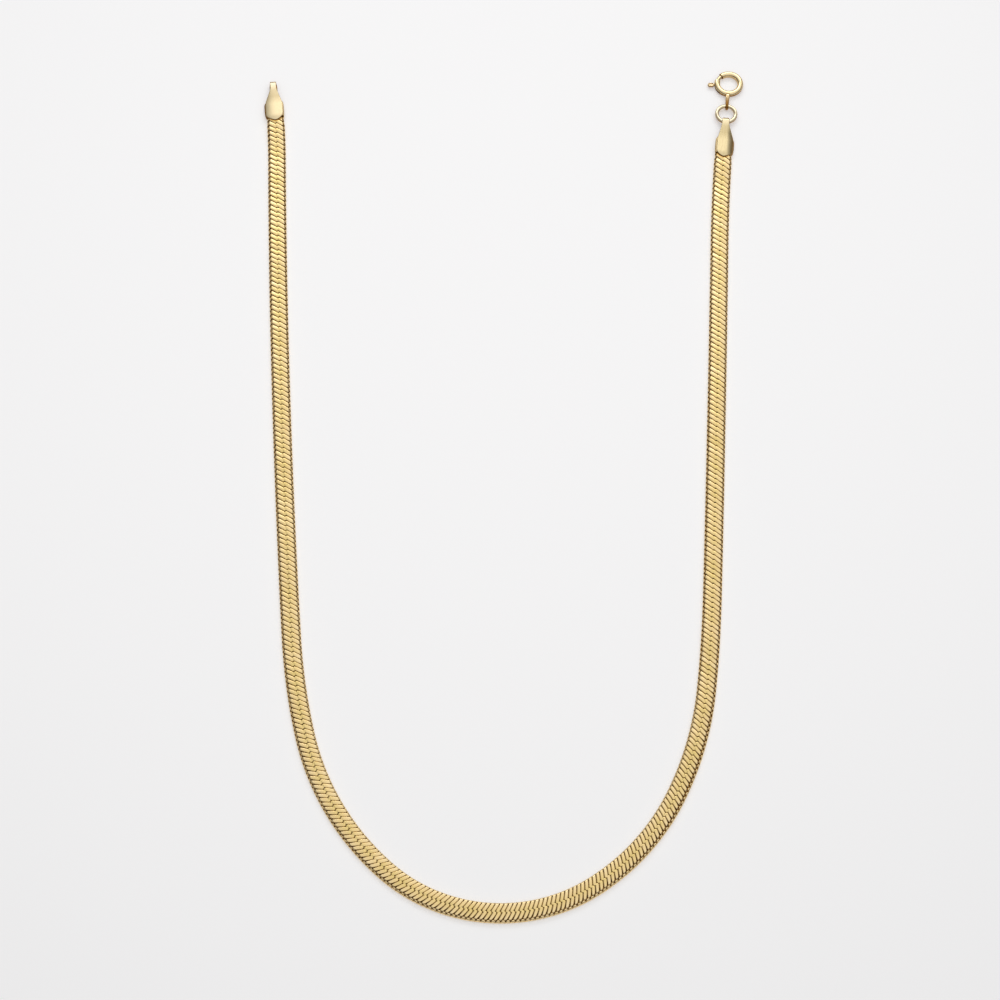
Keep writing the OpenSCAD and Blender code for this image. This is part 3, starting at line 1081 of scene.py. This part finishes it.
def clasp_tube():
    """The hollow ring, open at the gap and slit on its outside where the thumb piece slides."""
    stretches = [
        ([RING_FROM - END_STEP], False),
        (np.linspace(RING_FROM, SLIT_FROM, END_SECTIONS), False),
        (np.linspace(SLIT_FROM, SLIT_TO, SLIT_SECTIONS), True),
        (np.linspace(SLIT_TO, RING_TO, RING_SECTIONS), False),
        ([RING_TO + END_STEP], False),
    ]
    degrees = np.concatenate([angles for angles, _ in stretches])
    made = [tube_section(angle, is_slit) for angles, is_slit in stretches for angle in angles]
    sections = np.array([section for section, _ in made])
    depth = np.concatenate([depth for _, depth in made])
    faces = tube_faces(len(degrees), sections.shape[1])
    return in_clasp(around(CLASP_RADIUS, degrees, sections)), faces, depth


def out_of_bore(points):
    """Points of the clasp's own frame, of which those in the tube's bore are moved into its wall."""
    radius = np.hypot(points[..., 0], points[..., 1])
    across = np.stack([radius - CLASP_RADIUS, points[..., 2]], -1)
    distance = np.linalg.norm(across, axis=-1)
    across *= (np.maximum(distance, EYE_SEAT) / distance)[..., None]
    share = (CLASP_RADIUS + across[..., 0]) / radius
    return np.stack([points[..., 0] * share, points[..., 1] * share, across[..., 1]], -1)


def clasp_eye():
    """Strap bent into a long upright eye, wider where it is soldered to the ring."""
    turn = np.linspace(-np.pi / 2, np.pi / 2, EYE_BEND_SECTIONS)
    run = np.linspace(-EYE_STRAIGHT, EYE_STRAIGHT, EYE_RUN_SECTIONS + 2)[1:-1]
    out_y = np.concatenate([np.cos(turn), 0 * run, -np.cos(turn), 0 * run])
    out_z = np.concatenate([np.sin(turn), 1 + 0 * run, -np.sin(turn), 0 * run - 1])
    centre = np.concatenate([EYE_STRAIGHT + 0 * turn, run[::-1], 0 * turn - EYE_STRAIGHT, run])
    y = centre + EYE_RADIUS * out_y
    section = outline(1, EYE_POWER, full_turn(EYE_POINTS))
    width = EYE_NARROW + (EYE_WIDE - EYE_NARROW) * smooth_step((y + EYE_STRAIGHT) / (2 * EYE_STRAIGHT))
    from_line = EYE_RADIUS + EYE_THICK * section[:, 1]
    points = np.stack([
        section[:, 0] * width[:, None],
        centre[:, None] + from_line * out_y[:, None] - EYE_MIDDLE,
        from_line * out_z[:, None] + EYE_RISE,
    ], -1)
    dark = smooth_step((EYE_MIDDLE - y - EYE_DARK_FROM) / (EYE_DARK_FULL - EYE_DARK_FROM))
    faces = tube_faces(len(y), EYE_POINTS, closed=True)
    return in_clasp(out_of_bore(points)), faces, np.repeat(dark, EYE_POINTS)


def wire(radius, half, power, degrees, closed):
    """A bent wire round the origin: its points, faces and painted shade."""
    section = outline(half, power, full_turn(WIRE_POINTS))
    points = around(radius, degrees, np.tile(section, (len(degrees), 1, 1)))
    faces = tube_faces(len(degrees), WIRE_POINTS, closed)
    return points, faces, np.tile(ring_painted_shade(section), len(degrees))


def bolt_wire():
    degrees = np.linspace(BOLT_FROM, BOLT_TO, BOLT_SECTIONS)
    points, faces, depth = wire(CLASP_RADIUS, BOLT_WIRE, ROUND, degrees, False)
    return in_clasp(points), faces, depth


def bolt_stem():
    """Square bar from the bolt's wire out through the slit to the thumb piece."""
    out = np.linspace(CLASP_RADIUS, STEM_REACH, STEM_SECTIONS)
    section = outline(STEM_HALF, STEM_POWER, full_turn(STEM_POINTS))
    out, across, up = np.broadcast_arrays(out[:, None], section[:, 0], section[:, 1])
    points = turned(np.stack([out, across, up], -1), THUMB_ANGLE)
    # Painted shade: the stem is dark all over
    return in_clasp(points), tube_faces(STEM_SECTIONS, STEM_POINTS), np.ones(STEM_SECTIONS * STEM_POINTS)


def bolt_thumb():
    """Oval thumb piece with a raised rim round a shallow dish."""
    angle = full_turn(THUMB_POINTS)
    c, s = np.round(np.cos(angle), THUMB_DIGITS), np.sin(angle)
    end = np.sign(c) * THUMB_STRAIGHT
    rings = []
    for inwards, height, _ in THUMB_PROFILE:
        radius = max(THUMB_HALF - inwards * MM, THUMB_LEAST)
        rings.append(np.stack([THUMB_MIDDLE + end + radius * c, radius * s, height * MM + 0 * angle], -1))
    depth = np.repeat([float(dark) for _, _, dark in THUMB_PROFILE], THUMB_POINTS)
    return in_clasp(turned(np.array(rings), THUMB_ANGLE)), tube_faces(len(rings), THUMB_POINTS), depth


def jump_wire():
    degrees = np.linspace(0, 360, JUMP_SECTIONS, endpoint=False)
    points, faces, depth = wire(JUMP_RADIUS, JUMP_WIRE, WIRE_POWER, degrees, True)
    return (points + JUMP_MIDDLE).reshape(-1, 3), faces, depth


def add_metal():
    add_cap("end_cap_left", 0.0, LEFT_CAP, satin_gold())
    add_cap("end_cap_right", CHAIN_LENGTH, RIGHT_CAP, brushed_gold())
    pale = polished_gold("pale_gold", light=(0.88, 0.78, 0.56), dark=(0.82, 0.71, 0.49))
    polished = polished_gold("polished_gold", light=(0.94, 0.78, 0.48), dark=(0.88, 0.7, 0.4))
    metal_piece("jump_ring", [jump_wire()], pale)
    metal_piece("spring_ring", [clasp_tube(), clasp_eye()], polished)
    metal_piece("bolt", [bolt_wire(), bolt_stem(), bolt_thumb()], polished, "clasp_bolt")


bpy.context.scene.view_settings.view_transform = "Standard"
add_camera()
add_world()
add_softbox()
add_floor()
add_chain()
add_metal()
